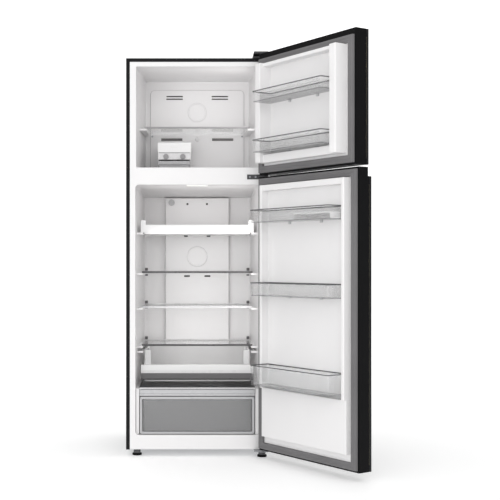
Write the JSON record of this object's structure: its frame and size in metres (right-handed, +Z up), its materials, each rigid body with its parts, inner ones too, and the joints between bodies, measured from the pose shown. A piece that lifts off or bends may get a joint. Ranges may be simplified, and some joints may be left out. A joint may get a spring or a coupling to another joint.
{
  "type": "top freezer refrigerator",
  "caption": "Upright two-door refrigerator with a freezer compartment above a fresh food compartment, with glass shelves, drawers and door bins.",
  "frame": {"origin": "bottom centre of the bounding box with both doors open as modelled, on the floor plane under the feet", "axes": "+Z up, +Y from the open front of the cabinet to its back, +X to the right as seen from the front; the doors hinge on the +X side of the cabinet"},
  "size_m": [0.9514, 1.086, 1.697],
  "materials": {
    "dark_steel": "satin",
    "galvanised": "satin",
    "black_plastic": "satin",
    "white_plastic": "satin",
    "grey_plastic": "satin",
    "clear_plastic": "gloss",
    "smoked_plastic": "gloss",
    "shelf_glass": "gloss",
    "gasket_rubber": "matte",
    "foam": "matte",
    "aluminium": "satin",
    "pump_black": "gloss",
    "copper": "satin",
    "rubber": "matte",
    "zinc": "satin"
  },
  "bodies": {
    "cabinet": {"air_duct_cover": "white_plastic", "back_panel": "galvanised", "base_plate": "galvanised", "bottom_hinge": "zinc", "cabinet_foam": "foam", "compressor": "pump_black", "compressor_grommets": "rubber", "condenser_coil": "copper", "cord_gland": "black_plastic", "crisper_cover": "grey_plastic", "defrost_heater": "copper", "deodoriser_cap": "white_plastic", "divider_cover": "white_plastic", "drain_pan": "black_plastic", "evaporator": "aluminium", "evaporator_cover": "white_plastic", "fan_motor": "zinc", "freezer_liner": "white_plastic", "freezer_shelf": "shelf_glass", "fridge_liner": "white_plastic", "glass_shelves": "shelf_glass", "hinge_cover": "black_plastic", "ice_maker_housing": "white_plastic", "light_cover": "white_plastic", "machine_room_cover": "black_plastic", "machine_room_wall": "galvanised", "middle_hinge": "zinc", "screws": "zinc", "shelf_trims": "grey_plastic", "side_panel_left": "dark_steel", "side_panel_right": "dark_steel", "top_hinge": "zinc", "top_panel": "dark_steel"},
    "freezer_door": {"freezer_door_panel": "dark_steel", "freezer_door_frame": "black_plastic", "freezer_door_liner": "white_plastic", "freezer_door_foam": "foam", "freezer_door_gasket": "gasket_rubber", "freezer_door_bins": "clear_plastic"},
    "fridge_door": {"fridge_door_panel": "dark_steel", "fridge_door_frame": "black_plastic", "fridge_door_liner": "white_plastic", "fridge_door_foam": "foam", "fridge_door_gasket": "gasket_rubber", "fridge_door_bins": "clear_plastic", "egg_tray": "clear_plastic"},
    "crisper": {"crisper_drawer": "smoked_plastic", "crisper_front": "grey_plastic"},
    "upper_drawer": {"upper_drawer": "clear_plastic", "upper_drawer_front": "white_plastic"},
    "chiller_tray": {"chiller_tray": "clear_plastic"},
    "ice_bin": {"ice_bin": "clear_plastic"},
    "ice_tray_left": {"ice_tray_left": "white_plastic"},
    "ice_tray_right": {"ice_tray_right": "white_plastic"},
    "fan": {"fan_blade": "rubber"},
    "dial": {"temperature_dial": "white_plastic"},
    "foot_left": {"front_foot_left": "black_plastic"},
    "foot_right": {"front_foot_right": "black_plastic"},
    "roller_left": {"rear_roller_left": "rubber"},
    "roller_right": {"rear_roller_right": "rubber"}
  },
  "joints": [
    {"name": "freezer_door_hinge", "type": "hinge", "parent": "cabinet", "child": "freezer_door", "pos_m": [0.11, -0.039, 1.433], "axis": [0, 0, 1], "range_deg": [-123, 12]},
    {"name": "fridge_door_hinge", "type": "hinge", "parent": "cabinet", "child": "fridge_door", "pos_m": [0.11, -0.039, 0.603], "axis": [0, 0, 1], "range_deg": [-124.5, 10]},
    {"name": "crisper_slide", "type": "slide", "parent": "cabinet", "child": "crisper", "axis": [0, -1, 0], "range_m": [0, 0.3]},
    {"name": "upper_drawer_slide", "type": "slide", "parent": "cabinet", "child": "upper_drawer", "axis": [0, -1, 0], "range_m": [0, 0.17]},
    {"name": "chiller_tray_slide", "type": "slide", "parent": "cabinet", "child": "chiller_tray", "axis": [0, -1, 0], "range_m": [0, 0.17]},
    {"name": "ice_bin_slide", "type": "slide", "parent": "cabinet", "child": "ice_bin", "axis": [0, -1, 0], "range_m": [0, 0.18]},
    {"name": "ice_tray_left_twist", "type": "hinge", "parent": "cabinet", "child": "ice_tray_left", "pos_m": [-0.312, 0.241, 1.277], "axis": [0, 1, 0], "range_deg": [0, 150], "stiffness_Nm_per_rad": 0.02},
    {"name": "ice_tray_right_twist", "type": "hinge", "parent": "cabinet", "child": "ice_tray_right", "pos_m": [-0.239, 0.241, 1.277], "axis": [0, 1, 0], "range_deg": [0, 150], "stiffness_Nm_per_rad": 0.02},
    {"name": "fan_spin", "type": "hinge", "parent": "cabinet", "child": "fan", "pos_m": [-0.176, 0.386, 1.501], "axis": [0, 1, 0], "continuous": true},
    {"name": "dial_turn", "type": "hinge", "parent": "cabinet", "child": "dial", "pos_m": [-0.294, 0.384, 1.09], "axis": [0, 1, 0], "range_deg": [0, 270]},
    {"name": "foot_left_turn", "type": "hinge", "parent": "cabinet", "child": "foot_left", "pos_m": [-0.431, 0.026, 0.012], "axis": [0, 0, 1], "continuous": true},
    {"name": "foot_right_turn", "type": "hinge", "parent": "cabinet", "child": "foot_right", "pos_m": [0.096, -0.016, 0.012], "axis": [0, 0, 1], "continuous": true},
    {"name": "roller_left_spin", "type": "hinge", "parent": "cabinet", "child": "roller_left", "pos_m": [-0.449, 0.496, 0.013], "axis": [1, 0, 0], "continuous": true},
    {"name": "roller_right_spin", "type": "hinge", "parent": "cabinet", "child": "roller_right", "pos_m": [0.097, 0.496, 0.013], "axis": [1, 0, 0], "continuous": true}
  ]
}
